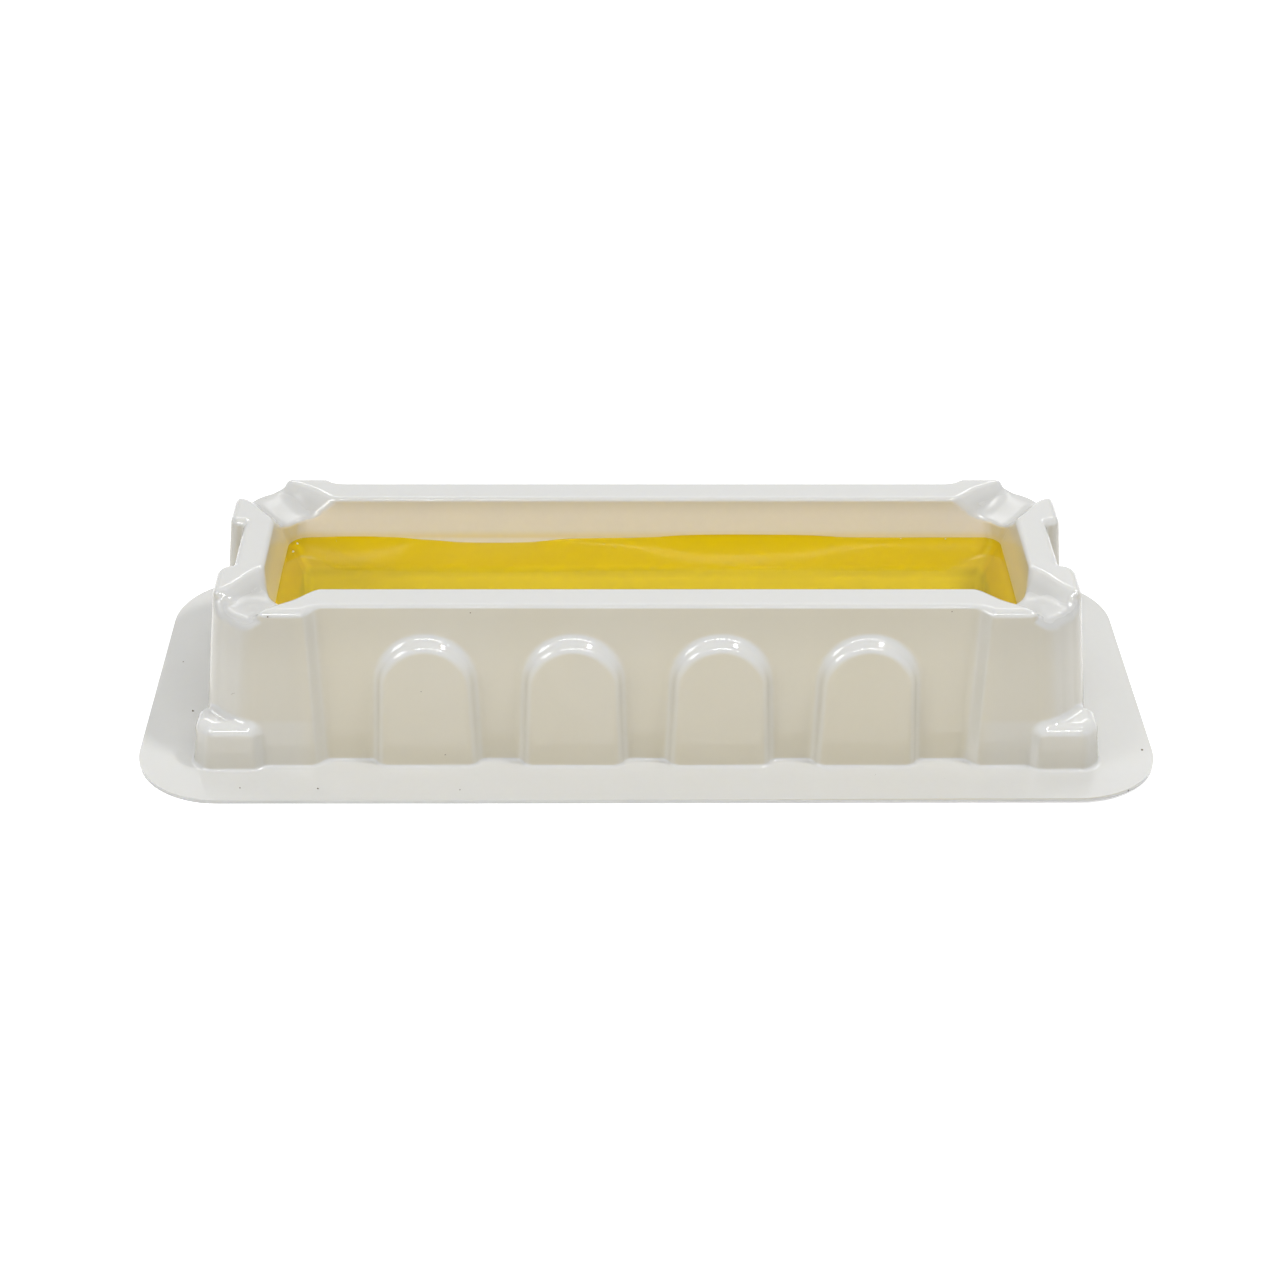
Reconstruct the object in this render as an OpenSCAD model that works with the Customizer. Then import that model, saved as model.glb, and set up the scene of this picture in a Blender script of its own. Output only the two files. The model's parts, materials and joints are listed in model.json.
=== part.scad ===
// Reagent reservoir: a shallow laboratory trough formed from one sheet of
// white plastic, with a fill of yellow reagent. The sheet runs from a flat
// flange up a drafted skirt, over a flat rim and down into the basin, so the
// tray is hollow underneath. Each corner has a block that stands proud of the
// side walls, a pour spout across its top and a stacking lug at its foot, and
// each long wall carries a row of arched pads.
//
// Frame: X along the tray, Y across it, Z up. The origin is the middle of the
// flange's underside, on the bench.

/* [Sheet] */
// Thickness of the formed sheet
sheet = 0.6; // [0.4:0.05:0.8]

/* [Flange] */
// Length of the flange
flange_l = 150; // [146:1:200]
// Width of the flange
flange_w = 63; // [58:1:90]
// Plan radius of the flange's corners
flange_r = 13; // [6:0.5:20]

/* [Skirt and rim] */
// Height of the rim above the bench
rim_h = 25.5; // [24:0.5:34]
// Length over the end walls, at rim height
rim_l = 121.4; // [118:0.2:124]
// Width over the long walls, at rim height
rim_w = 37.2; // [35:0.2:40]
// Draft of the outer walls in degrees
draft = 6; // [3:0.5:8]
// Radius of the rim's rounded edges
edge_r = 1.1; // [1:0.1:1.6]
// Width of the sloping foot where the walls meet the flange
foot_w = 0.8; // [0.4:0.1:1.6]

/* [Corner blocks] */
// Length over the corner blocks, at rim height
block_l = 125.8; // [123:0.2:132]
// Width over the corner blocks, at rim height
block_w = 40.8; // [38.4:0.2:46]
// Length of a block along the long wall
block_run_x = 14.4; // [12:0.2:17]
// Length of a block along the end wall
block_run_y = 14; // [11:0.2:16]
// Plan radius at each side of a block's outer corner
block_r = 5; // [3:0.5:7]
// Setback of the flat across a block's outer corner
block_flat = 2.7; // [1:0.1:4]
// Width of the slope between a block's face and the long wall
block_slope = 2.2; // [1:0.1:3]

/* [Arched pads] */
// Number of arched pads on each long wall
arch_count = 4; // [1:1:4]
// Distance between the middles of two pads
arch_pitch = 21.4; // [17:0.2:24]
// Width of a pad across its round top
arch_w = 14.6; // [10:0.2:16]
// Width of a pad at its foot
arch_foot_w = 15.7; // [11:0.1:16.5]
// Height of a pad above the bench, up the wall
arch_h = 20.6; // [12:0.2:21]
// Width of a pad's sloping shoulder
arch_shoulder = 1.4; // [0.8:0.1:2]

/* [Stacking lugs] */
// Height of a lug above the bench
lug_h = 7.6; // [5:0.2:11]
// How far a lug stands proud of its block's foot
lug_proud = 1.1; // [0.8:0.1:2]
// Length of a lug along the long wall
lug_run_x = 10.2; // [8:0.2:12]
// Length of a lug along the end wall
lug_run_y = 7.4; // [7.2:0.2:12]
// Radius of a lug's top edge
lug_edge = 1.5; // [1:0.1:2]

/* [Basin] */
// Length of the basin's mouth at rim height
basin_l = 112.6; // [108:0.2:114]
// Width of the basin's mouth at rim height
basin_w = 27; // [24:0.2:29]
// Plan radius at each side of a basin corner
basin_r = 3; // [1.5:0.1:4]
// Setback of the flat across a basin corner, at rim height
basin_flat = 2.5; // [1:0.1:5]
// Depth of the steep walls below the rim
steep_depth = 16.6; // [12:0.2:18]
// Depth of the keel of the V floor below the rim
keel_depth = 22.6; // [19:0.2:23]
// Width of the flat along the keel
keel_w = 3; // [1:0.5:6]
// Draft of the basin's long walls in degrees
basin_draft = 7; // [3:0.5:10]
// Draft of the basin's end walls in degrees
basin_end_draft = 12; // [6:0.5:15]

/* [Pour spouts] */
// Width of a spout at its inner lip
spout_in_w = 10.6; // [8:0.1:11.4]
// Width of a spout at its narrowest, before its outer lip
spout_neck_w = 8.8; // [6:0.1:9.4]
// Widening of a spout as it rolls over its outer lip
spout_flare = 3; // [0:0.1:5]
// Shift of a spout's axis from its block's diagonal toward the long wall
spout_shift = 0.9; // [0:0.1:1.2]
// Depth of a spout below the rim at its inner lip
spout_in_depth = 3.3; // [2.5:0.1:4]
// Depth of a spout below the rim at its outer lip
spout_out_depth = 1.9; // [1.8:0.1:4]
// Slope of a spout's sides in degrees from the level
spout_slope = 48; // [35:1:70]
// Radius along the foot of a spout's sides
spout_foot_r = 2.8; // [1:0.1:3]
// Radius of the lips at both ends of a spout
lip_r = 1.9; // [1:0.1:2.4]

/* [Reagent] */
// Depth of the liquid's surface below the rim
fill_depth = 6.6; // [5.5:0.2:12]
// Clearance between the liquid and the sheet
film_gap = 0.05; // [0.02:0.01:0.2]

/* [Hidden] */

// Depth to which the underside's hollow is carried below the bench
under = 1;
// Small overlap that keeps joined forms from sharing a face
lap = 0.03;
// Steps on a plan radius, on a rounded edge and along a spout's lip
plan_steps = 5;
edge_steps = 3;
lip_steps = 3;
// Facets on the flange's corners and on an arch
flange_fn = 48;
arch_fn = 28;

// Distance that the blocks stand proud of the long walls
proud = (block_w - rim_w) / 2;
// Positions of a spout's lips along its axis, from the block's square corner
spout_out = (block_r * (sqrt(2) - 2) - block_flat) / sqrt(2) + growth(rim_h - spout_out_depth) * sqrt(2);
spout_in = basin_corner(spout_in_depth + lip_r);

// Growth of the outer walls at a height z, from their draft
function growth(z) = (rim_h - z) * tan(draft);

// Setback of the flat across a basin corner at a depth below the rim
function flat_at(depth) = basin_flat * (1 - depth / steep_depth);

// Position of that flat along a spout's axis, from the block's square corner
function basin_corner(depth) =
    (basin_l + basin_w - block_l - block_w) / (2 * sqrt(2))
    - depth * (tan(basin_end_draft) + tan(basin_draft)) / sqrt(2)
    - (basin_r * (2 - sqrt(2)) + flat_at(depth)) / sqrt(2);

// Points on an arc about c, from one angle to another
function arc(c, r, from, to, steps) = [
    for (i = [0:steps])
        let (a = from + (to - from) * i / steps)
        [c[0] + r * cos(a), c[1] + r * sin(a)]
];

// A quarter outline in the ++ corner: a radius, a flat and a radius
function corner(x, y, r, flat) = concat(
    arc([x - r, y - r - flat], r, 0, 45, plan_steps),
    arc([x - r - flat, y - r], r, 45, 90, plan_steps)
);

// The quarter outline carried round all four corners, anticlockwise
function mirrored(q) =
    let (last = len(q) - 1)
    concat(
        q,
        [for (i = [last:-1:0]) [-q[i][0], q[i][1]]],
        [for (i = [0:last]) [-q[i][0], -q[i][1]]],
        [for (i = [last:-1:0]) [q[i][0], -q[i][1]]]
    );

// Points lifted to a height
function at_height(points, z) = [for (p = points) [p[0], p[1], z]];

// Skin over rows of points that all have the same count, from the lowest row
module loft(rows) {
    n = len(rows[0]);
    last = len(rows) - 1;
    sides = [
        for (r = [0:last - 1], i = [0:n - 1], half = [0, 1])
            let (
                a = r * n + i,
                b = r * n + (i + 1) % n
            )
            half == 0 ? [a, b + n, b] : [a, a + n, b + n]
    ];
    caps = [[for (i = [0:n - 1]) i], [for (i = [n - 1:-1:0]) last * n + i]];
    polyhedron([for (row = rows) each row], concat(sides, caps));
}

module at_corners() {
    for (sx = [0, 1])
        for (sy = [0, 1])
            mirror([sx, 0, 0])
                mirror([0, sy, 0])
                    children();
}

// Heights of a form's rows, each with the growth of its outer sides: a foot
// that slopes out into the flange, the drafted side and a rounded top edge.
// With an inset it is the sheet's inner face, open at the bench.
function form_rows(h, r, inset) = concat(
    inset > 0
        ? [[-under, growth(-under)]]
        : [
            [0, growth(0) + foot_w + sheet],
            [sheet / 2, growth(sheet) + foot_w + sheet / 2],
            [sheet + foot_w, growth(sheet + foot_w)]
        ],
    [
        for (i = [0:edge_steps])
            let (
                a = 90 * i / edge_steps,
                top_r = r - inset
            )
            [h - inset - top_r + top_r * sin(a), growth(h - inset - top_r) - top_r * (1 - cos(a))]
    ]
);

function wall_points(grow) = mirrored(corner(rim_l / 2 + grow, rim_w / 2 + grow, 3, 0));

// Corner block: a flat with a radius at each side across the outer corner,
// a slope toward the long wall and a softly rounded side on the end wall
function block_points(grow, inset) =
    let (
        x = block_l / 2 + grow,
        y = block_w / 2 + grow,
        lean = 0.3 * (grow + inset),
        side_x = block_l / 2 - block_run_x - lean + inset,
        side_y = block_w / 2 - block_run_y - lean + inset,
        side_r = 1.4,
        end_r = 2.5
    )
    concat(
        arc([x - end_r, side_y + end_r], end_r, -90, 0, plan_steps),
        corner(x, y, block_r, block_flat),
        arc([side_x + side_r, y - side_r], side_r, 90, 135, 2),
        [
            [side_x - block_slope, y - proud - 1],
            [side_x - block_slope, side_y]
        ]
    );

function lug_points(grow, inset) =
    let (
        x = block_l / 2 + lug_proud + grow,
        y = block_w / 2 + lug_proud + grow,
        foot = growth(0) + lug_proud + inset,
        side_x = block_l / 2 + foot - lug_run_x,
        side_y = block_w / 2 + foot - lug_run_y,
        end_r = 0.7
    )
    concat(
        arc([x - end_r, side_y + end_r], end_r, -60, 0, 2),
        corner(x, y, 2.4, 0.8),
        arc([side_x + end_r, y - end_r], end_r, 90, 150, 2),
        [[side_x + 2, side_y + 2]]
    );

module wall(inset) {
    loft([
        for (row = form_rows(rim_h, edge_r, inset))
            at_height(wall_points(row[1] - inset), row[0])
    ]);
}

module blocks(inset) {
    at_corners()
        loft([
            for (row = form_rows(rim_h, edge_r, inset))
                at_height(block_points(row[1] - inset, inset), row[0])
        ]);
}

module lugs(inset) {
    at_corners()
        loft([
            for (row = form_rows(lug_h, lug_edge, inset))
                at_height(lug_points(row[1] - inset, inset), row[0])
        ]);
}

// Outline of an arch on its back: legs along Y from the foot, round top
function arch_points(shrink, foot) =
    let (leg = arch_foot_w / 2 - shrink)
    concat(
        [[-leg, foot], [leg, foot]],
        arc([0, arch_h - arch_w / 2], arch_w / 2 - shrink, 0, 180, arch_fn / 2)
    );

// Arched pads: the face lies in the plane of the corner blocks' faces, and
// the rounded shoulder slopes back to the long wall
module arches(inset) {
    foot = inset > 0 ? -under - 1 : 0.7 * sheet;
    side = 0.6 * inset;
    rows = [
        at_height(arch_points(arch_shoulder + side, foot), inset),
        at_height(arch_points(0.4 * arch_shoulder + side, foot), 0.3 * proud + inset),
        at_height(arch_points(side, foot), proud + inset),
        at_height(arch_points(side, foot), proud + inset + 1.5)
    ];
    for (back = [0, 1])
        for (i = [0:arch_count - 1])
            mirror([0, 1 - back, 0])
                translate([(i - (arch_count - 1) / 2) * arch_pitch, block_w / 2 + growth(0), 0])
                    rotate([90 + draft, 0, 0])
                        loft(rows);
}

// Row of the basin at a depth below the rim, grown by o
function basin_row(depth, o) = at_height(
    mirrored(corner(
        basin_l / 2 - depth * tan(basin_end_draft) + o,
        basin_w / 2 - depth * tan(basin_draft) + o,
        basin_r + o,
        flat_at(depth)
    )),
    rim_h - depth
);

// Row along the keel of the V floor
function keel_row(o) = at_height(
    mirrored(corner(
        basin_l / 2 - keel_depth * tan(basin_end_draft) + o,
        (keel_w + o) / 2,
        0.3 * keel_w,
        0.1
    )),
    rim_h - keel_depth - o
);

// Rows of the basin's mouth, flared to round the rim's inner edge
function mouth_rows(o) =
    let (r = edge_r - o)
    concat(
        [
            for (i = [0:edge_steps])
                let (a = 90 * i / edge_steps)
                at_height(basin_row(edge_r, o + r * (1 - cos(a))), rim_h - o - r * (1 - sin(a)))
        ],
        [at_height(basin_row(edge_r, o + r), rim_h + 1)]
    );

// Half of a spout's cross-section, as points from the middle of its floor to
// the rim, which is at height 0. Radii swap their growth where the sheet turns.
function spout_half(o) =
    let (
        foot = spout_foot_r + o,
        top = edge_r - o,
        fall = spout_in_depth - (spout_foot_r + edge_r) * (1 - cos(spout_slope)),
        run = (spout_foot_r + edge_r) * sin(spout_slope) + fall / tan(spout_slope),
        x_top = spout_in_w / 2 + edge_r * tan(spout_slope / 2),
        x_foot = x_top - run
    )
    concat(
        arc([x_foot, spout_foot_r - spout_in_depth], foot, -90, spout_slope - 90, 3),
        arc([x_top, -edge_r], top, 90 + spout_slope, 90 + spout_slope / 2, 1),
        [[x_top, top - edge_r + lap], [x_top, 2]]
    );

// The whole cross-section, from one side of the rim to the other
function spout_section(o) =
    let (
        half = spout_half(o),
        n = len(half)
    )
    concat(half, [for (i = [n - 1:-1:0]) [-half[i][0], half[i][1]]]);

// Stations along a spout's axis, each with the width and the depth there:
// up over the inner lip, along the floor to the neck and down over the outer lip
function spout_stations(o) =
    let (
        r = lip_r - o,
        neck = spout_out - lip_r - 1
    )
    concat(
        [[spout_in - 5, spout_in_w + 1, spout_in_depth + r]],
        [
            for (i = [lip_steps:-1:0])
                let (a = 90 * i / lip_steps)
                [spout_in + lip_r - r * sin(a), spout_in_w, spout_in_depth + r * (1 - cos(a))]
        ],
        [[neck, spout_neck_w, spout_out_depth + 0.05]],
        [
            for (i = [0:lip_steps])
                let (a = 90 * i / lip_steps)
                [
                    spout_out - lip_r + r * sin(a),
                    spout_neck_w + 0.2 + spout_flare * (1 - cos(a)),
                    spout_out_depth + r * (1 - cos(a))
                ]
        ],
        [[spout_out + 3, spout_neck_w + spout_flare + 2, spout_out_depth + r + 4]]
    );

// The section carried to a station, with the axis along X
function spout_row(station, section, o) = [
    for (p = section)
        [
            station[0],
            p[0] * station[1] / spout_in_w,
            p[1] * (p[1] > 0 ? 1 : (station[2] + o) / (spout_in_depth + o))
        ]
];

// Channels cut across the corner blocks on the diagonal
module spouts(o) {
    section = spout_section(o);
    at_corners()
        translate([(block_l - spout_shift) / 2, (block_w + spout_shift) / 2, rim_h])
            rotate(45)
                loft([for (station = spout_stations(o)) spout_row(station, section, o)]);
}

// The basin's hollow with its mouth, grown by the inset for the underside
module basin(inset) {
    loft(concat([keel_row(inset), basin_row(steep_depth, inset)], mouth_rows(inset)));
}

// The form that the sheet is drawn over, shrunk by the inset
module formed(inset) {
    difference() {
        union() {
            difference() {
                union() {
                    wall(inset);
                    blocks(inset);
                }
                spouts(inset);
            }
            arches(inset);
            lugs(inset);
        }
        basin(inset);
    }
}

module flange() {
    linear_extrude(sheet)
        hull()
            for (sx = [-1, 1], sy = [-1, 1])
                translate([sx * (flange_l / 2 - flange_r), sy * (flange_w / 2 - flange_r)])
                    circle(flange_r, $fn = flange_fn);
}

module tray() {
    color("ivory")
        difference() {
            union() {
                flange();
                formed(0);
            }
            formed(sheet);
        }
}

module reagent() {
    color("gold")
        loft([
            keel_row(-film_gap),
            basin_row(steep_depth, -film_gap),
            basin_row(fill_depth, -film_gap)
        ]);
}

tray();
reagent();
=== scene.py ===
"""Reagent reservoir: a formed white sheet with a fill of yellow reagent, on a pale bench.

The sheet and the reagent are made by node trees that work out how far any point lies
from the formed surface, and skin the places where that distance is nought.
"""

import json
import math

import bpy
from bpy.props import FloatProperty, FloatVectorProperty, IntProperty, PointerProperty
from mathutils import Euler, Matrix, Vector

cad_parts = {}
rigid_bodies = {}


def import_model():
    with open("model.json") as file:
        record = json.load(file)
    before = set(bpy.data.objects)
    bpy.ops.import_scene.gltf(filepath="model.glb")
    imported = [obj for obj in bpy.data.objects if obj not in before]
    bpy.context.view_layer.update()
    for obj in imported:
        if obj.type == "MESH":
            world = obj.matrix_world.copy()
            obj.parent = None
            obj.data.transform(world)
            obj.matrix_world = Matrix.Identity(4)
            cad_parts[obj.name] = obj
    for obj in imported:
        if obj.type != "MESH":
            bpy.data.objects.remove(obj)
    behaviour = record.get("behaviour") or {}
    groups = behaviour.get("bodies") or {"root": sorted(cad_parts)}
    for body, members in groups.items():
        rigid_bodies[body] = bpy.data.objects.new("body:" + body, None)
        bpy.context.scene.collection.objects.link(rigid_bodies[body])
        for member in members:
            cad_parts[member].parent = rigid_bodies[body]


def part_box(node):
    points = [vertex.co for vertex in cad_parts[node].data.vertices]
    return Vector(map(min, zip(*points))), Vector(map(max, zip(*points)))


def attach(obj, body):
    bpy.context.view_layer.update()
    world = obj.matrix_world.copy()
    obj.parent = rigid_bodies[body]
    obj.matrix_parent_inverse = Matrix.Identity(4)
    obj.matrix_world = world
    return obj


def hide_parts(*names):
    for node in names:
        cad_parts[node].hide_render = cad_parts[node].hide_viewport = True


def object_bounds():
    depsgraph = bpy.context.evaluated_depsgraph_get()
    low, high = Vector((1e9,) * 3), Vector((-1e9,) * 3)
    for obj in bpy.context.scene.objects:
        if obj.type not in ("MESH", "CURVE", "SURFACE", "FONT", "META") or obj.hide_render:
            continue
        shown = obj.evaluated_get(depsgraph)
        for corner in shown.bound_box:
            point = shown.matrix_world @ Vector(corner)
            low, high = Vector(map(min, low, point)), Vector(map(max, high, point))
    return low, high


bl_info = {
    "name": "Reagent Reservoir",
    "version": (1, 0, 0),
    "blender": (4, 5, 0),
    "location": "View3D > Sidebar > Reservoir",
    "description": "Formed laboratory trough with pour spouts and a fill of reagent",
    "category": "Object",
}

for stray in list(bpy.data.objects):
    bpy.data.objects.remove(stray)
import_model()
CAD_LOW, CAD_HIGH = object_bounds()
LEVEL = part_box("reagent")[1].z
MM = 0.001


def size(name, description, default, least=0.0):
    """A length that a user can change, in metres."""
    return FloatProperty(name=name, description=description, default=default, min=least,
                         unit="LENGTH", subtype="DISTANCE", precision=5)


def angle(name, description, degrees):
    """An angle that a user can change."""
    return FloatProperty(name=name, description=description, default=math.radians(degrees),
                         unit="ROTATION", subtype="ANGLE")


def colour(name, description, default):
    """A colour that a user can change."""
    return FloatVectorProperty(name=name, description=description, default=default, size=3,
                               min=0.0, max=1.0, subtype="COLOR")


def amount(name, description, default, least=0.0, most=100.0):
    """A plain number that a user can change."""
    return FloatProperty(name=name, description=description, default=default, min=least, max=most)


class SheetSizes(bpy.types.PropertyGroup):
    """Sizes of the formed sheet."""

    thickness: size("Thickness", "Thickness of the formed sheet", 0.6 * MM)
    flange_l: size("Flange length", "Length of the flange", CAD_HIGH.x - CAD_LOW.x)
    flange_w: size("Flange width", "Width of the flange", CAD_HIGH.y - CAD_LOW.y)
    flange_r: size("Flange corner radius", "Plan radius of the flange's corners", 13 * MM)
    foot_r: size("Foot radius", "Radius where the walls turn out into the flange", 0.5 * MM)
    warp: size("Warp", "How far the flange's right front corner has sprung up", 0.4 * MM)
    rim_h: size("Rim height", "Height of the rim above the bench", CAD_HIGH.z)
    rim_l: size("Rim length", "Length over the end walls, at rim height", 121.4 * MM)
    rim_w: size("Rim width", "Width over the long walls, at rim height", 37.2 * MM)
    draft: angle("Draft", "Draft of the outer walls", 6)
    edge_r: size("Edge radius", "Radius of the rim's rounded edges", 0.6 * MM)
    block_l: size("Block length over all", "Length over the corner blocks, at rim height",
                  125.8 * MM)
    block_w: size("Block width over all", "Width over the corner blocks, at rim height", 40.8 * MM)
    block_run_x: size("Block run along", "Length of a block along the long wall", 14.4 * MM)
    block_run_y: size("Block run across", "Length of a block along the end wall", 14 * MM)
    block_r: size("Block radius", "Plan radius at each side of a block's outer corner", 5 * MM)
    block_flat: size("Block flat", "Setback of the flat across a block's outer corner", 2.7 * MM)
    block_soft: size("Block valley radius", "Radius where a block's sides meet the walls", 1.3 * MM)
    lug_h: size("Lug height", "Height of a stacking lug above the bench", 7.6 * MM)
    lug_proud: size("Lug step", "How far a lug stands proud of its block's foot", 1.1 * MM)
    lug_run_x: size("Lug run along", "Length of a lug along the long wall", 10.2 * MM)
    lug_run_y: size("Lug run across", "Length of a lug along the end wall", 7.4 * MM)
    lug_edge: size("Lug edge radius", "Radius of a lug's top edge", 1.8 * MM)
    pad_count: IntProperty(name="Pad count", description="Number of arched pads on a long wall",
                           default=4, min=1, max=8)
    pad_pitch: size("Pad pitch", "Distance between the middles of two pads", 21.4 * MM)
    pad_w: size("Pad width", "Width of a pad across its round top", 14.6 * MM)
    pad_foot_w: size("Pad foot width", "Width of a pad at its foot", 15.7 * MM)
    pad_h: size("Pad height", "Height of a pad above the bench, up the wall", 20.6 * MM)
    pad_lean: angle("Pad shoulder lean", "Lean of a pad's shoulder from square to the wall", 28)
    pad_edge: size("Pad edge radius", "Radius round the edge of a pad's face", 1.5 * MM)
    pad_foot_r: size("Pad valley radius", "Radius where a pad's shoulder meets the wall", 0.8 * MM)


class SpoutSizes(bpy.types.PropertyGroup):
    """Sizes of the pour spouts across the corner blocks."""

    in_w: size("Spout inner width", "Width of a spout at its inner lip", 10.6 * MM)
    neck_w: size("Spout neck width", "Width of a spout at its narrowest", 8.8 * MM)
    flare: size("Spout flare", "Widening of a spout over its outer lip", 3.4 * MM)
    shift: size("Spout shift", "Shift of a spout's axis toward the long wall", 0.9 * MM)
    in_depth: size("Spout inner depth", "Depth of a spout at its inner lip", 3.3 * MM)
    out_depth: size("Spout outer depth", "Depth of a spout at its outer lip", 1.9 * MM)
    slope: angle("Spout slope", "Slope of a spout's sides from the level", 48)
    bed_r: size("Spout floor radius", "Radius along the foot of a spout's sides", 2.8 * MM)
    lip_r: size("Spout lip radius", "Radius of the lips at both ends of a spout", 1.9 * MM)


class BasinSizes(bpy.types.PropertyGroup):
    """Sizes of the basin."""

    basin_l: size("Basin length", "Length of the basin's mouth at rim height", 112.6 * MM)
    basin_w: size("Basin width", "Width of the basin's mouth at rim height", 27 * MM)
    basin_r: size("Basin corner radius", "Plan radius at each side of a basin corner", 3 * MM)
    basin_flat: size("Basin corner flat", "Setback of the flat across a basin corner", 2.5 * MM)
    steep_depth: size("Steep depth", "Depth of the steep walls below the rim", 16.6 * MM)
    keel_depth: size("Keel depth", "Depth of the keel below the rim", 22.6 * MM)
    keel_w: size("Keel width", "Width of the flat along the keel", 3 * MM)
    side_draft: angle("Side draft", "Draft of the basin's long walls", 7)
    end_draft: angle("End draft", "Draft of the basin's end walls", 12)
    floor_r: size("Floor radius", "Radius where the steep walls turn into the floor", 3 * MM)


class LiquidSizes(bpy.types.PropertyGroup):
    """Sizes of the reagent."""

    level: size("Level", "Height of the reagent's flat surface", LEVEL)
    wet_rise: size("Wet rise", "Height that the reagent climbs where it wets a wall", 0.3 * MM)
    wet_reach: size("Wet reach", "Distance from a wall over which the surface levels out", 1.6 * MM)
    seat: size("Seat", "Depth that the reagent's skin is let into the sheet", 0.35 * MM)


class GrainSizes(bpy.types.PropertyGroup):
    """Shape of the dust and the bubbles."""

    lumps: amount("Lumps", "How lumpy a dust speck is, as a share of its width", 0.8, 0.0, 1.0)
    fibre: amount("Fibre width", "Width of a fibre, as a share of its length", 0.07, 0.01, 1.0)
    seed: IntProperty(name="Seed", description="Seed of the turns of the grains", default=4, min=0)


class Finish(bpy.types.PropertyGroup):
    """Colours of the pieces."""

    sheet: colour("Sheet", "Colour of the sheet where it is thick", (0.73, 0.73, 0.709))
    # Partly the thin sheet's own tone, partly painted shade and painted warm light: the steep walls
    # are made darker and warmer in place of their shade and the light coming through them
    drawn: colour("Drawn sheet", "Colour of the sheet where it is drawn thin", (0.67, 0.617, 0.48))
    inside: colour("Basin sheet", "Colour of the sheet in the light thrown back by the reagent",
                   (0.90, 0.845, 0.77))
    end: colour("Basin end", "The same, on the basin's end walls", (0.80, 0.70, 0.47))
    reagent: colour("Reagent", "Colour that the reagent takes on in depth", (0.64, 0.45, 0.0))
    wetted: colour("Wetted sheet", "Colour of the basin's walls just above the reagent",
                   (0.84, 0.70, 0.34))
    # Painted shade: the basin's floor under the reagent is painted greyer than its walls
    sunk: colour("Sunk floor", "Colour of the basin's floor under the reagent",
                 (0.68, 0.665, 0.665))
    mottle: colour("Mottle", "Colour of the faint mottling of the sheet", (0.55, 0.52, 0.46))
    gleam: colour("Gleam", "Colour of what the reagent's surface throws back",
                  (0.9, 0.75, 0.05))
    through: colour("Through the reagent", "Colour of the lamps' light that has passed through it",
                    (0.86, 0.79, 0.10))
    # Painted highlight: the bubbles' near white stands in for glints on the reagent's edge, and
    # their slight yellow for light from the reagent
    film: colour("Film", "Colour of the bubbles", (1.0, 1.0, 0.9))
    speck: colour("Speck", "Colour of the dust specks", (0.10, 0.09, 0.08))
    brown: colour("Brown dust", "Colour of the dust where it is browner", (0.30, 0.22, 0.15))
    bench: colour("Bench", "Colour of the bench", (0.80, 0.80, 0.80))


class StageSizes(bpy.types.PropertyGroup):
    """The camera and the lamps."""

    camera_at: FloatVectorProperty(name="Camera place", description="Where the camera stands",
                                   default=(-0.00674, -0.33162, 0.21338),
                                   subtype="XYZ", unit="LENGTH")
    camera_tilt: angle("Camera tilt", "Tilt of the camera from straight down", 58.26)
    lens: amount("Lens", "Focal length in millimetres", 71.76)
    shift: amount("Lens shift", "Sideways shift of the lens, in picture widths", 0.0308, -1.0, 1.0)
    strip: amount("Strip lamp", "Power of the long narrow lamp in front, in watts", 1.05)
    back: amount("Back lamp", "Power of the long lamp behind, in watts", 1.6)
    key: amount("Key lamp", "Power of the lamp high on the right, in watts", 1.2)
    left: amount("Left lamp", "Power of the lamp at the left, in watts", 1.15)
    sky: amount("Sky", "Strength of the plain light from all round", 0.24)
    back_sky: amount("Back sky", "Strength of the light from behind the tray", 0.30)
    bench_glow: amount("Bench glow", "Light that the bench adds where it is seen", 0.55)


# Height of the wetted line along the back wall, from left to right, in millimetres off the level
BACK_LINE = (-0.9, 0.05, -0.5, -1.0, -0.3, -0.1, 0.4, 0.35, -0.1, -0.1, -0.1)
# Dust on the sheet: place and width in millimetres
DUST = (
    (-68.6, -8.1, 0.6, 0.30), (-47.7, -28.6, 0.6, 0.24), (-59.0, -28.4, 0.6, 0.20),
    (-27.1, -28.9, 0.6, 0.20), (-72.0, 5.9, 0.6, 0.18), (73.5, -18.6, 0.6, 0.30),
    (69.6, -28.9, 0.6, 0.36), (43.4, -26.1, 0.6, 0.18), (-54.2, -20.5, 24.8, 0.20),
    (-32.7, -21.7, 12.9, 0.16), (-29.5, -22.8, 2.6, 0.18), (24.9, -20.9, 3.9, 0.22),
    (43.6, -18.7, 24.6, 0.16), (-25.4, -18.7, 24.4, 0.18),
    (-12.0, 28.0, 0.6, 0.20), (52.0, 27.0, 0.6, 0.22), (-66.0, 22.0, 0.6, 0.16),
)
# Short fibres on the sheet, in the same way
LINT = (
    (-35.5, -20.15, 17.8, 0.7), (-59.9, -21.8, 12.6, 0.6),
    (33.3, -25.3, 0.62, 0.6), (18.0, 21.3, 10.0, 0.6),
)
# Bubbles on the edge of the reagent, whose white also paints the glints there, in the same way
BUBBLES = (
    (-53.5, 10.9, 19.0, 0.34), (-53.9, 8.4, 19.0, 0.30), (-47.6, 11.6, 19.0, 0.20),
    (46.6, 12.3, 19.0, 0.26), (39.7, 12.4, 19.0, 0.20), (41.0, -12.3, 19.0, 0.26),
    (-8.0, -12.4, 19.0, 0.22),
)
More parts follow.
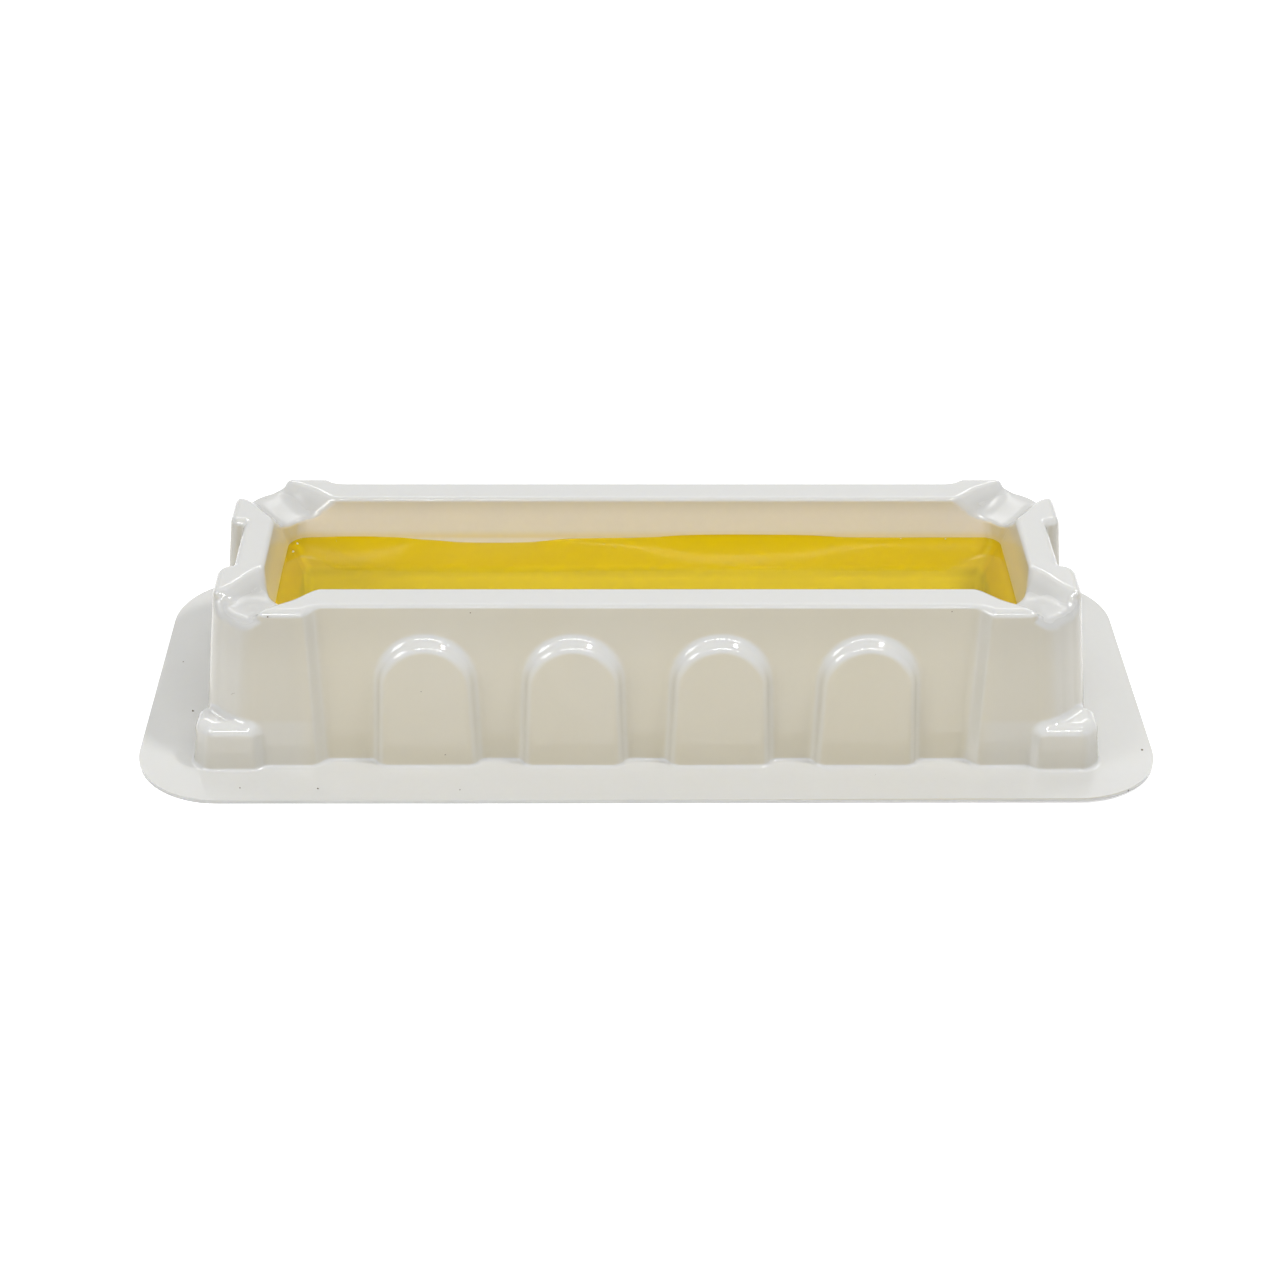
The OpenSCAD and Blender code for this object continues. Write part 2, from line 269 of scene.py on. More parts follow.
# Place of each lamp, and its length and width, in metres
LAMPS = {
    "strip": ((0.05, -0.39, 0.46), (0.55, 0.025)),
    "back": ((0.0, 0.48, 0.52), (1.0, 0.12)),
    "key": ((0.275, -0.06, 0.55), (0.07, 0.07)),
    "left": ((-0.48, -0.28, 0.38), (0.30, 0.20)),
}
SOCKETS = {"FLOAT": "NodeSocketFloat", "INT": "NodeSocketInt"}
WHITE = (1, 1, 1, 1)
BLACK = (0.0, 0.0, 0.0)

# Distance between the samples from which a surface is skinned
SHEET_STEP = 0.3 * MM
REAGENT_STEP = 0.4 * MM
# Room round a form that is sampled too
MARGIN = 1.6 * MM
# How far the reagent's flat faces may be merged
FLAT_MERGE = 0.005
# Share of the sheet's faces that is kept once they are thinned out
KEPT_SHARE = 0.165
# The sheet's edges that turn further than this stay sharp
SHARP_EDGE = math.radians(65)
# A round of radius 1 between two sides and the flat across them sets the flat back by this much
ROUND_SETBACK = 2 - math.sqrt(2)
DIAGONAL = math.sqrt(0.5)


class Field:
    """A number worked out by nodes, so that a sum of sockets reads as a sum."""

    def __init__(self, tree, socket):
        self.tree = tree
        self.socket = socket

    def __add__(self, other):
        return self.tree.math("ADD", self, other)

    def __sub__(self, other):
        return self.tree.math("SUBTRACT", self, other)

    def __mul__(self, other):
        return self.tree.math("MULTIPLY", self, other)

    def __truediv__(self, other):
        return self.tree.math("DIVIDE", self, other)

    def __rsub__(self, other):
        return self.tree.math("SUBTRACT", other, self)

    def __neg__(self):
        return self.tree.math("MULTIPLY", self, -1.0)

    __radd__ = __add__
    __rmul__ = __mul__


class Nodes:
    """Short ways to add nodes to a tree, and to set or link their inputs."""

    def __init__(self, tree):
        self.tree = tree

    def join(self, value, socket):
        """Sets a socket to a value, or links a field or another socket to it."""
        if isinstance(value, Field):
            value = value.socket
        if isinstance(value, bpy.types.NodeSocket):
            self.tree.links.new(value, socket)
        else:
            socket.default_value = value

    def add(self, kind, values=None, **settings):
        """Adds a node with its settings and its inputs, by name or by number."""
        node = self.tree.nodes.new(kind)
        for key, value in settings.items():
            setattr(node, key, value)
        for key, value in (values or {}).items():
            self.join(value, node.inputs[key])
        return node

    def math(self, operation, *values):
        """One sum."""
        return self.add("ShaderNodeMath", dict(enumerate(values)), operation=operation).outputs[0]

    def span(self, value, low, high, start=0.0, end=1.0, shape="LINEAR"):
        """Goes evenly from start to end as the value goes from low to high."""
        values = {0: value, 1: low, 2: high, 3: start, 4: end}
        return self.add("ShaderNodeMapRange", values, interpolation_type=shape).outputs[0]

    def ease(self, value, low, high, start=0.0, end=1.0):
        """Turns smoothly from start to end as the value goes from low to high."""
        return self.span(value, low, high, start, end, "SMOOTHSTEP")

    def off(self, value):
        """How far a value is from nought, either way."""
        return self.math("ABSOLUTE", value)

    def parts(self, vector):
        """The three numbers of a vector."""
        return self.add("ShaderNodeSeparateXYZ", {0: vector}).outputs


class Tree(Nodes):
    """A geometry node tree whose inputs are the sizes of one or more property groups."""

    def __init__(self, name, *groups, takes_mesh=False):
        super().__init__(bpy.data.node_groups.new(name, "GeometryNodeTree"))
        if takes_mesh:
            self.tree.interface.new_socket(
                name="Places", in_out="INPUT", socket_type="NodeSocketGeometry")
        self.sizes = {}
        for group in groups:
            for key, prop in group.bl_rna.properties.items():
                if prop.type not in SOCKETS:
                    continue
                item = self.tree.interface.new_socket(
                    name=prop.name, in_out="INPUT", socket_type=SOCKETS[prop.type])
                item.default_value = prop.default
                if prop.subtype in ("DISTANCE", "ANGLE"):
                    item.subtype = prop.subtype
                self.sizes[key] = (group, prop.name, item.identifier)
        self.given = self.tree.nodes.new("NodeGroupInput")
        self.result = self.tree.nodes.new("NodeGroupOutput")

    def output(self, name, kind="NodeSocketFloat"):
        """Adds an output and returns its socket."""
        self.tree.interface.new_socket(name=name, in_out="OUTPUT", socket_type=kind)
        return self.result.inputs[name]

    def __getattr__(self, key):
        """The field of a size, by its key."""
        sizes = self.__dict__.get("sizes", {})
        if key not in sizes:
            raise AttributeError(key)
        return Field(self, self.given.outputs[sizes[key][1]])

    def math(self, operation, *values):
        """One sum, as a field."""
        return Field(self, super().math(operation, *values))

    def span(self, *values):
        """Goes evenly from start to end, as a field."""
        return Field(self, super().span(*values))

    def parts(self, vector):
        """The three numbers of a vector, as fields."""
        return [Field(self, number) for number in super().parts(vector)]

    def least(self, a, b):
        """The smaller of two."""
        return self.math("MINIMUM", a, b)

    def most(self, a, b):
        """The larger of two."""
        return self.math("MAXIMUM", a, b)

    def long(self, a, b):
        """Long side over a right angle's sides a and b; a side under nought counts as nought."""
        pair = self.add("ShaderNodeCombineXYZ", {0: a, 1: b})
        kept = self.add("ShaderNodeVectorMath", {0: pair.outputs[0]}, operation="MAXIMUM")
        length = self.add("ShaderNodeVectorMath", {0: kept.outputs[0]}, operation="LENGTH")
        return Field(self, length.outputs["Value"])

    def inside_both(self, a, b, radius):
        """What lies inside both forms, with their edge rounded."""
        flat = self.least(self.most(a, b), -radius)
        return flat + self.long(a + radius, b + radius)

    def inside_either(self, a, b, radius):
        """What lies inside either form, with their valley rounded."""
        flat = self.most(self.least(a, b), radius)
        return flat - self.long(radius - a, radius - b)

    def point(self):
        """The coordinates of the point that the distance is worked out for."""
        return self.parts(self.add("GeometryNodeInputPosition").outputs[0])

    def normal(self):
        """The direction in which the surface faces."""
        return self.add("GeometryNodeInputNormal").outputs[0]

    def scaled(self, vector, share):
        """A vector made longer or shorter."""
        return self.add("ShaderNodeVectorMath", {
            0: vector, "Scale": share}, operation="SCALE").outputs[0]

    def curve(self, value, low, high, heights):
        """A smooth line through heights of -1 to 1 mm, spread evenly from low to high."""
        node = self.add("ShaderNodeFloatCurve", {"Value": self.span(value, low, high)})
        points = node.mapping.curves[0].points
        last = len(heights) - 1
        spots = [(i / last, 0.5 + height / 2) for i, height in enumerate(heights)]
        points[0].location, points[1].location = spots[0], spots[last]
        for spot in spots[1:last]:
            points.new(*spot)
        node.mapping.update()
        return (Field(self, node.outputs[0]) - 0.5) * (2 * MM)

    def moved(self, geometry, offset):
        """The geometry with each of its points moved."""
        return self.add("GeometryNodeSetPosition", {
            "Geometry": geometry, "Offset": offset}).outputs[0]

    def skin(self, form, low, high, step, merge=0.0):
        """Skin over the form between two corners, from samples a step apart; flats are merged."""
        corners = [self.add("ShaderNodeCombineXYZ", dict(enumerate(c))) for c in (low, high)]
        counts = [(b - a) * (1 / step) for a, b in zip(low, high)]
        cube = self.add("GeometryNodeVolumeCube", {
            "Density": -form, "Background": -1.0,
            "Min": corners[0].outputs[0], "Max": corners[1].outputs[0],
            "Resolution X": counts[0], "Resolution Y": counts[1], "Resolution Z": counts[2]})
        mesh = self.add("GeometryNodeVolumeToMesh", {
            "Volume": cube.outputs[0], "Threshold": 0.0, "Adaptivity": merge})
        # Each point is brought onto the exact surface, along its normal
        return self.moved(mesh.outputs[0], self.scaled(self.normal(), -form))

    def finish(self, geometry, material):
        """Ends the tree: everything made real, smooth and of one material."""
        smooth = self.add("GeometryNodeSetShadeSmooth", {"Geometry": geometry})
        real = self.add("GeometryNodeRealizeInstances", {"Geometry": smooth.outputs[0]})
        set_material = self.add("GeometryNodeSetMaterial", {
            "Geometry": real.outputs[0], "Material": material})
        self.join(set_material.outputs[0], self.output("Geometry", "NodeSocketGeometry"))

    def call(self, other):
        """The first output of another tree, fed with this tree's sizes of the same name."""
        node = self.add("GeometryNodeGroup", node_tree=other.tree)
        for key, (_, name, _) in other.sizes.items():
            if key in self.sizes:
                self.join(getattr(self, key), node.inputs[name])
        return Field(self, node.outputs[0])

    def fill(self, modifier, scene):
        """Sets a modifier's inputs to the sizes that the user chose."""
        for key, (group, _, identifier) in self.sizes.items():
            modifier[identifier] = getattr(getattr(scene, PLACES[group]), key)


def eased(radius, degrees):
    """Blend width that gives a true radius where two faces meet at that angle."""
    half = math.radians(degrees) / 2
    return radius * (math.tan(half) * math.sin(2 * half))


def basin_tree():
    """Distance to the basin's hollow: steep walls over a floor shaped like a V."""
    # The corner flats have run out at this depth, and the corners are half as round
    corner_depth = 8 * MM
    # Turns, in degrees, at the corner flats, between keel and floor, and between floor and walls
    corner_turn, keel_turn, floor_turn = 45, 31, 60
    t = Tree("Basin", BasinSizes, SheetSizes)
    x, y, z = t.point()
    x, y = t.off(x), t.off(y)
    depth = t.rim_h - z
    end_slant, side_slant = t.math("TANGENT", t.end_draft), t.math("TANGENT", t.side_draft)
    end = x - (t.basin_l * 0.5 - depth * end_slant)
    side = y - (t.basin_w * 0.5 - depth * side_slant)
    deep = t.least(t.most(depth / corner_depth, 0.0), 1.0)
    flat = t.basin_flat * (1.0 - deep)
    radius = t.basin_r * (1.0 - deep * 0.5)
    across = (end + side + flat + radius * ROUND_SETBACK) * DIAGONAL
    end = end * t.math("COSINE", t.end_draft)
    side = side * t.math("COSINE", t.side_draft)
    corner_r = eased(radius, corner_turn)
    walls = t.inside_both(t.inside_both(end, across, corner_r), side, corner_r)
    low = t.rim_h - t.keel_depth
    run = t.basin_w * 0.5 - t.steep_depth * side_slant - t.keel_w * 0.5
    rise = t.keel_depth - t.steep_depth
    slope = t.math("SQRT", run * run + rise * rise)
    fall = ((y - t.keel_w * 0.5) * rise - (z - low) * run) / slope
    floor = t.inside_both(fall, low - z, eased(t.floor_r, keel_turn))
    t.join(t.inside_both(walls, floor, eased(t.floor_r, floor_turn)), t.output("Distance"))
    return t


def skirt_tree():
    """Distance to the walls and the corner blocks under their flat rim."""
    wall_r, block_end_r = 3 * MM, 2 * MM
    # The block's sloping side stands back by this much, and leans by a share of the draft
    slope_back, lean_share = 0.82 * MM, 0.3
    # The rim's edge is twice as round on the blocks, and changes over this length of wall
    change_before, change_after, block_edge = 2 * MM, 1 * MM, 2.0
    t = Tree("Skirt", SheetSizes)
    x, y, z = t.point()
    x, y = t.off(x), t.off(y)
    grow = (t.rim_h - z) * t.math("TANGENT", t.draft)
    slant = t.math("COSINE", t.draft)
    wall = t.inside_both(x - (t.rim_l * 0.5 + grow), y - (t.rim_w * 0.5 + grow), wall_r) * slant
    end = x - (t.block_l * 0.5 + grow)
    side = y - (t.block_w * 0.5 + grow)
    across = (end + side + t.block_flat + t.block_r * ROUND_SETBACK) * DIAGONAL
    corner_r = eased(t.block_r, 45)
    block = t.inside_both(t.inside_both(end, across, corner_r), side, corner_r)
    lean = grow * lean_share
    along = t.block_l * 0.5 - t.block_run_x - lean - x
    slope = (side + along + slope_back) * DIAGONAL
    block = t.inside_both(block, slope, eased(t.block_soft, 45))
    block_end = t.block_w * 0.5 - t.block_run_y - lean - y
    block = t.inside_both(block, block_end, block_end_r) * slant
    outline = t.inside_either(wall, block, t.block_soft * 0.4)
    start = t.block_l * 0.5 - t.block_run_x
    edge = t.ease(x, start - change_before, start + change_after, t.edge_r, t.edge_r * block_edge)
    t.join(t.inside_both(outline, z - t.rim_h, edge), t.output("Distance"))
    return t


def lug_tree():
    """Distance to the stacking lugs round the foot of the blocks."""
    corner_r, corner_flat, end_r = 2.4 * MM, 0.8 * MM, 1.4 * MM
    t = Tree("Lugs", SheetSizes)
    x, y, z = t.point()
    x, y = t.off(x), t.off(y)
    slant = t.math("TANGENT", t.draft)
    grow = (t.rim_h - z) * slant
    end = x - (t.block_l * 0.5 + t.lug_proud + grow)
    side = y - (t.block_w * 0.5 + t.lug_proud + grow)
    across = (end + side + corner_flat + corner_r * ROUND_SETBACK) * DIAGONAL
    lug = t.inside_both(t.inside_both(end, across, eased(corner_r, 45)), side, eased(corner_r, 45))
    foot = t.rim_h * slant + t.lug_proud
    lug = t.inside_both(lug, t.block_l * 0.5 + foot - t.lug_run_x - x, end_r)
    lug = t.inside_both(lug, t.block_w * 0.5 + foot - t.lug_run_y - y, end_r)
    t.join(t.inside_both(lug, z - t.lug_h, t.lug_edge), t.output("Distance"))
    return t


def pad_tree():
    """Distance to the arched pads that repeat along each long wall."""
    t = Tree("Arched pads", SheetSizes)
    x, y, z = t.point()
    y = t.off(y)
    slant = t.math("COSINE", t.draft)
    grow = (t.rim_h - z) * t.math("TANGENT", t.draft)
    last = (t.pad_count - 1.0) * 0.5
    number = t.most(t.least(t.math("ROUND", x / t.pad_pitch + last), t.pad_count - 1.0), 0.0)
    across = t.off(x - (number - last) * t.pad_pitch)
    up = z / slant
    spring = t.pad_h - t.pad_w * 0.5
    below = t.most(spring - up, 0.0) / spring
    half = t.pad_w * 0.5 + (t.pad_foot_w - t.pad_w) * 0.5 * below
    outline = t.long(across, up - spring) - half
    off_wall = (y - (t.rim_w * 0.5 + grow)) * slant
    face = (y - (t.block_w * 0.5 + grow)) * slant
    shoulder = outline * t.math("COSINE", t.pad_lean) + off_wall * t.math("SINE", t.pad_lean)
    t.join(t.inside_both(face, shoulder, eased(t.pad_edge, 62)), t.output("Distance"))
    return t


def spout_tree():
    """Distance to the channels cut on the diagonal, and the radius of their lips."""
    # Places along a spout, from its inner lip outward to the block's corner at nought
    inner, neck, flare_from, shallow, flare_to = (
        place * MM for place in (-12, -6.6, -6.4, -5.6, -2.2))
    # How much rounder than the rim's edge a spout's sides are where they meet it, and the turn
    # there and at the foot of the sides, in degrees
    side_edge, turn = 2.2, 48
    t = Tree("Spouts", SpoutSizes, SheetSizes)
    x, y, z = t.point()
    x = t.off(x) - (t.block_l - t.shift) * 0.5
    y = t.off(y) - (t.block_w + t.shift) * 0.5
    out = (x + y) * DIAGONAL
    across = t.off((y - x) * DIAGONAL)
    depth = t.ease(out, inner, shallow, t.in_depth, t.out_depth)
    width = t.ease(out, inner, neck, t.in_w, t.neck_w)
    width = width + t.ease(out, flare_from, flare_to, 0.0, t.flare)
    under_rim = t.rim_h - z
    floor = under_rim - depth
    side = (across - width * 0.5) * t.math("SINE", t.slope) + under_rim * t.math("COSINE", t.slope)
    t.join(t.inside_both(floor, side, eased(t.bed_r, turn)), t.output("Distance"))
    lip = t.ease(under_rim / depth, 0.15, 0.85, eased(t.edge_r * side_edge, turn), t.lip_r)
    t.join(lip, t.output("Lip"))
    return t


def flange_block(t):
    """A closed block with the flange's outline, taller than the sheet."""
    below, tall, corner_steps, same_point = 1.2 * MM, 0.04, 24, 1e-5
    outline = t.add("GeometryNodeCurvePrimitiveQuadrilateral", {
        "Width": t.flange_l, "Height": t.flange_w})
    rounded = t.add("GeometryNodeFilletCurve", {
        "Curve": outline.outputs[0], "Count": corner_steps, "Radius": t.flange_r}, mode="POLY")
    filled = t.add("GeometryNodeFillCurve", {"Curve": rounded.outputs[0]}, mode="NGONS")
    lowered = t.moved(filled.outputs[0], (0, 0, -below))
    raised = t.add("GeometryNodeExtrudeMesh", {
        "Mesh": lowered, "Offset": (0, 0, 1), "Offset Scale": tall, "Individual": False})
    base = t.add("GeometryNodeFlipFaces", {"Mesh": lowered})
    block = t.add("GeometryNodeJoinGeometry", {0: raised.outputs[0]})
    t.join(base.outputs[0], block.inputs[0])
    return t.add("GeometryNodeMergeByDistance", {
        "Geometry": block.outputs[0], "Distance": same_point}).outputs[0]


def sheet_tree(material):
    """The upper face of the formed sheet, trimmed to the flange's outline."""
    lug_valley_r, above_rim = 1.0 * MM, 1.2 * MM
    t = Tree("Formed sheet", SheetSizes, SpoutSizes, BasinSizes)
    x, y, z = t.point()
    skirt = t.call(skirt_tree())
    spout = t.call(spout_tree())
    lip = Field(t, spout.socket.node.outputs["Lip"])
    form = t.inside_both(skirt, -spout, lip)
    form = t.inside_either(form, t.call(pad_tree()), t.pad_foot_r)
    form = t.inside_either(form, t.call(lug_tree()), lug_valley_r)
    form = t.inside_either(form, z - t.thickness, t.foot_r)
    # The basin's edge is as round as a lip where a spout runs into it
    mouth_r = t.ease(spout, -1.5 * MM, 0.6 * MM, t.lip_r, t.edge_r)
    form = t.inside_both(form, -t.call(basin_tree()), mouth_r)
    half_x, half_y = t.flange_l * 0.5 + MARGIN, t.flange_w * 0.5 + MARGIN
    skin = t.skin(form, (-half_x, -half_y, -MARGIN), (half_x, half_y, t.rim_h + above_rim),
                  SHEET_STEP)
    trimmed = t.add("GeometryNodeMeshBoolean", {
        "Mesh 2": skin}, operation="INTERSECT", solver="MANIFOLD")
    t.join(flange_block(t), trimmed.inputs["Mesh 2"])
    # Its under side and the flange's edge are taken off: the sheet gets its thickness later
    _, _, facing_up = t.parts(t.normal())
    upright = t.math("LESS_THAN", t.off(facing_up), 0.3)
    outer = t.math("GREATER_THAN", skirt, 3 * MM)
    at_edge = t.math("LESS_THAN", z, t.thickness * 1.02) * upright * outer
    under = t.most(at_edge, t.math("LESS_THAN", z, t.thickness * 0.5))
    open_face = t.add("GeometryNodeDeleteGeometry", {
        "Geometry": trimmed.outputs[0], "Selection": under}, domain="FACE", mode="ALL")
    # The flange has sprung up a little at its right front corner, and only where it is flat
    sprung = t.ease(x, -40 * MM, t.flange_l * 0.5) * t.ease(-y, 23.5 * MM, t.flange_w * 0.5)
    lift = t.add("ShaderNodeCombineXYZ", {2: sprung * t.ease(z, 3 * MM, MM) * t.warp})
    t.finish(t.moved(open_face.outputs[0], lift.outputs[0]), material)
    return t


def liquid_tree(material):
    """The reagent: what lies in the basin under a surface that climbs a little at the walls."""
    # The wetted line runs over this length, and reaches wider than the plain climb by this share
    line_half, line_reach = 56 * MM, 2.2
    surface_edge, below_keel, above_level = 0.02 * MM, 1.5 * MM, 2.4 * MM
    t = Tree("Reagent", LiquidSizes, BasinSizes, SheetSizes)
    x, y, z = t.point()
    basin = t.call(basin_tree())
    near = t.math("EXPONENT", t.least(basin, 0.0) / t.wet_reach)
    pinned = t.curve(x, -line_half, line_half, BACK_LINE)
    by_back = t.ease(y, 1 * MM, 12 * MM)
    wide = t.math("EXPONENT", t.least(basin, 0.0) / (t.wet_reach * line_reach))
    top = t.level + near * t.wet_rise + pinned * wide * by_back
    form = t.inside_both(basin - t.seat, z - top, surface_edge)
    half_x, half_y = t.basin_l * 0.5 + MM, t.basin_w * 0.5 + MM
    skin = t.skin(form, (-half_x, -half_y, t.rim_h - t.keel_depth - below_keel),
                  (half_x, half_y, t.level + above_level), REAGENT_STEP, merge=FLAT_MERGE)
    t.finish(skin, material)
    return t


def grains_tree(name, material, long):
    """Small lumps set on given places, each turned its own way and as wide as its place says."""
    t = Tree(name, GrainSizes, takes_mesh=True)
    width = t.add("GeometryNodeInputNamedAttribute", {"Name": "width"}, data_type="FLOAT")
    if long:
        arc = t.add("GeometryNodeCurvePrimitiveBezierSegment", {
            "Resolution": 10, "Start": (-0.5, 0.0, 0.0), "Start Handle": (-0.2, 0.25, 0.1),
            "End Handle": (0.2, -0.3, 0.1), "End": (0.5, 0.05, 0.0)})
        ring = t.add("GeometryNodeCurvePrimitiveCircle", {
            "Resolution": 6, "Radius": t.fibre * 0.5}, mode="RADIUS")
        lump = t.add("GeometryNodeCurveToMesh", {
            "Curve": arc.outputs[0], "Profile Curve": ring.outputs[0],
            "Fill Caps": True}).outputs[0]
    else:
        ball = t.add("GeometryNodeMeshIcoSphere", {"Radius": 0.5, "Subdivisions": 3})
        rough = t.add("ShaderNodeTexNoise", {"Scale": 2.4, "Detail": 1.0}, noise_dimensions="3D")
        push = (Field(t, rough.outputs[0]) - 0.5) * t.lumps
        lump = t.moved(ball.outputs[0], t.scaled(t.normal(), push))
    turn = t.add("FunctionNodeRandomValue", {
        1: (math.tau, 0.4, math.tau), "Seed": t.seed}, data_type="FLOAT_VECTOR")
    spread = t.add("GeometryNodeInstanceOnPoints", {
        "Points": t.given.outputs["Places"], "Instance": lump,
        "Rotation": turn.outputs[0], "Scale": width.outputs[0]})
    t.finish(spread.outputs[0], material)
    return t


def placed(places):
    """A mesh of loose points, in metres, that keep their widths."""
    mesh = bpy.data.meshes.new("Places")
    mesh.from_pydata([[c * MM for c in place[:3]] for place in places], [], [])
    widths = mesh.attributes.new("width", "FLOAT", "POINT")
    widths.data.foreach_set("value", [place[3] * MM for place in places])
    return mesh


def piece(name, mesh, slot, *stands_for):
    """A finished piece at the origin, on the part's one body."""
    obj = bpy.data.objects.new(name, mesh)
    bpy.context.scene.collection.objects.link(obj)
    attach(obj, "root")
    if stands_for:
        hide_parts(*stands_for)
    return obj


def made(scene, tree, *finishing, start=None):
    """The plain mesh that a tree gives, if there is one, after any finishing modifiers."""
    seed = bpy.data.objects.new("Seed", start or bpy.data.meshes.new("Seed"))
    scene.collection.objects.link(seed)
    if tree:
        modifier = seed.modifiers.new("Form", "NODES")
        modifier.node_group = tree.tree
        tree.fill(modifier, scene)
    for kind, settings in finishing:
        extra = seed.modifiers.new(kind.title(), kind)
        for key, value in settings.items():
            setattr(extra, key, value)
    graph = bpy.context.evaluated_depsgraph_get()
    mesh = bpy.data.meshes.new_from_object(seed.evaluated_get(graph))
    bpy.data.objects.remove(seed)
    if not mesh.polygons:
        raise RuntimeError("a piece has no faces")
    return mesh


class Paint(Nodes):
    """A material, with short ways to work out its colours and bumps."""

    def __init__(self, name):
        self.material = bpy.data.materials.new(name)
        self.material.use_nodes = True
        super().__init__(self.material.node_tree)
        self.surface = self.tree.nodes["Principled BSDF"]
        self.out = self.tree.nodes["Material Output"]
        self.where = self.add("ShaderNodeTexCoord").outputs["Object"]
        self.x, self.y, self.z = self.parts(self.where)

    def set(self, **values):
        """Sets or links inputs of the surface shader; underscores stand for spaces."""
        for key, value in values.items():
            self.join(value, self.surface.inputs[key.replace("_", " ")])

    def times(self, value, *others):
        """All the values multiplied."""
        for other in others:
            value = self.math("MULTIPLY", value, other)
        return value

    def noise(self, width, detail=2.0, stretch=(1, 1, 1)):
        """Cloudy pattern, 0 to 1, with lumps about as wide as given in metres."""
        mapped = self.add("ShaderNodeMapping", {"Vector": self.where, "Scale": stretch})
        return self.add("ShaderNodeTexNoise", {
            "Vector": mapped.outputs[0], "Scale": 1 / width, "Detail": detail}).outputs[0]

    def mix(self, share, a, b):
        """Colour between a and b."""
        node = self.add("ShaderNodeMix", {"Factor": share}, data_type="RGBA")
        for value, socket in ((a, node.inputs[6]), (b, node.inputs[7])):
            self.join((*value, 1) if isinstance(value, tuple) else value, socket)
        return node.outputs[2]

    def bump(self, height, distance, under=None):
        """Bumps of a real depth in metres, on top of other bumps."""
        values = {"Strength": 1.0, "Distance": distance, "Height": height}
        if under is not None:
            values["Normal"] = under
        return self.add("ShaderNodeBump", values).outputs[0]


def sheet_finish(scene):
    """Glossy white formed sheet, creamy where it is drawn thin, with painted shade on its walls,
    rim, spouts and block sides, and painted light from the reagent in the basin.
    """
    paint = Paint("Formed polystyrene")
    finish = scene.reservoir_finish
    face_x, face_y, face_z = paint.parts(paint.add("ShaderNodeNewGeometry").outputs["Normal"])
    steep = paint.ease(face_z, 0.55, 0.15)
    by_block = paint.ease(paint.off(paint.x), 46 * MM, 52 * MM)
    # Where the sheet is drawn thin: the steep walls between the flange and the rim. Their tint is
    # partly the sheet's own tone and partly painted shade and painted warm light through the thin
    # walls, strongest on walls that face front or back
    broad = paint.ease(paint.off(face_y), 0.80, 0.98)
    above_flange = paint.ease(paint.z, 0.6 * MM, 0.9 * MM)
    cloud = paint.span(paint.noise(22 * MM, 3, (1, 1, 0.35)), 0.3, 0.7, 0.85, 1.0)
    # The blocks take less of this tint, with its painted shade, than the long walls, and the lugs
    # at their foot less still
    by_lug = paint.times(by_block, paint.ease(paint.z, 8.6 * MM, 7.4 * MM))
    drawn = paint.times(
        above_flange, steep, cloud, paint.span(broad, 0.0, 1.0, 0.62, 1.0),
        paint.span(by_block, 0.0, 1.0, 1.0, 0.85), paint.span(by_lug, 0.0, 1.0, 1.0, 0.7))
    tint = paint.mix(drawn, tuple(finish.sheet), tuple(finish.drawn))
    # Painted shade: the rim is a little greyer than the flange, the spouts greyer again, and the
    # blocks' steep sides a little greyer
    high = paint.ease(paint.z, 16 * MM, 24 * MM)
    by_spout = paint.times(
        paint.ease(paint.z, 13 * MM, 19 * MM), paint.ease(paint.z, 24.8 * MM, 23.6 * MM),
        paint.ease(paint.off(paint.x), 48 * MM, 52 * MM), paint.ease(face_z, -0.1, 0.9))
    by_side = paint.times(by_block, steep)
    # Each share darkens the colour towards black: painted shade
    for share, depth in ((high, 0.07), (by_spout, 0.12), (by_side, 0.06)):
        tint = paint.mix(paint.span(share, 0.0, 1.0, 0.0, depth), tint, BLACK)
    inside, glow = basin_colour(scene, paint, face_x, steep)
    tint = paint.mix(inside, tint, glow)
    speckle = paint.span(paint.noise(0.9 * MM, 4), 0.35, 0.65, 0.0, 0.03)
    tint = paint.mix(speckle, tint, tuple(finish.mottle))
    rough = paint.span(paint.noise(6 * MM, 4), 0.3, 0.7, 0.05, 0.10)
    rough = paint.math("ADD", rough, paint.span(by_spout, 0.0, 1.0, 0.0, 0.22))
    wavy = paint.bump(paint.noise(16 * MM, 1), 0.012 * MM)
    grain = paint.bump(paint.noise(0.7 * MM, 3), 0.0015 * MM, wavy)
    paint.set(Base_Color=tint, Roughness=rough, IOR=1.62, Normal=grain)
    paint.set(Subsurface_Weight=0.12, Subsurface_Radius=(1.0, 0.85, 0.5), Subsurface_Scale=1.2 * MM)
    return paint.material


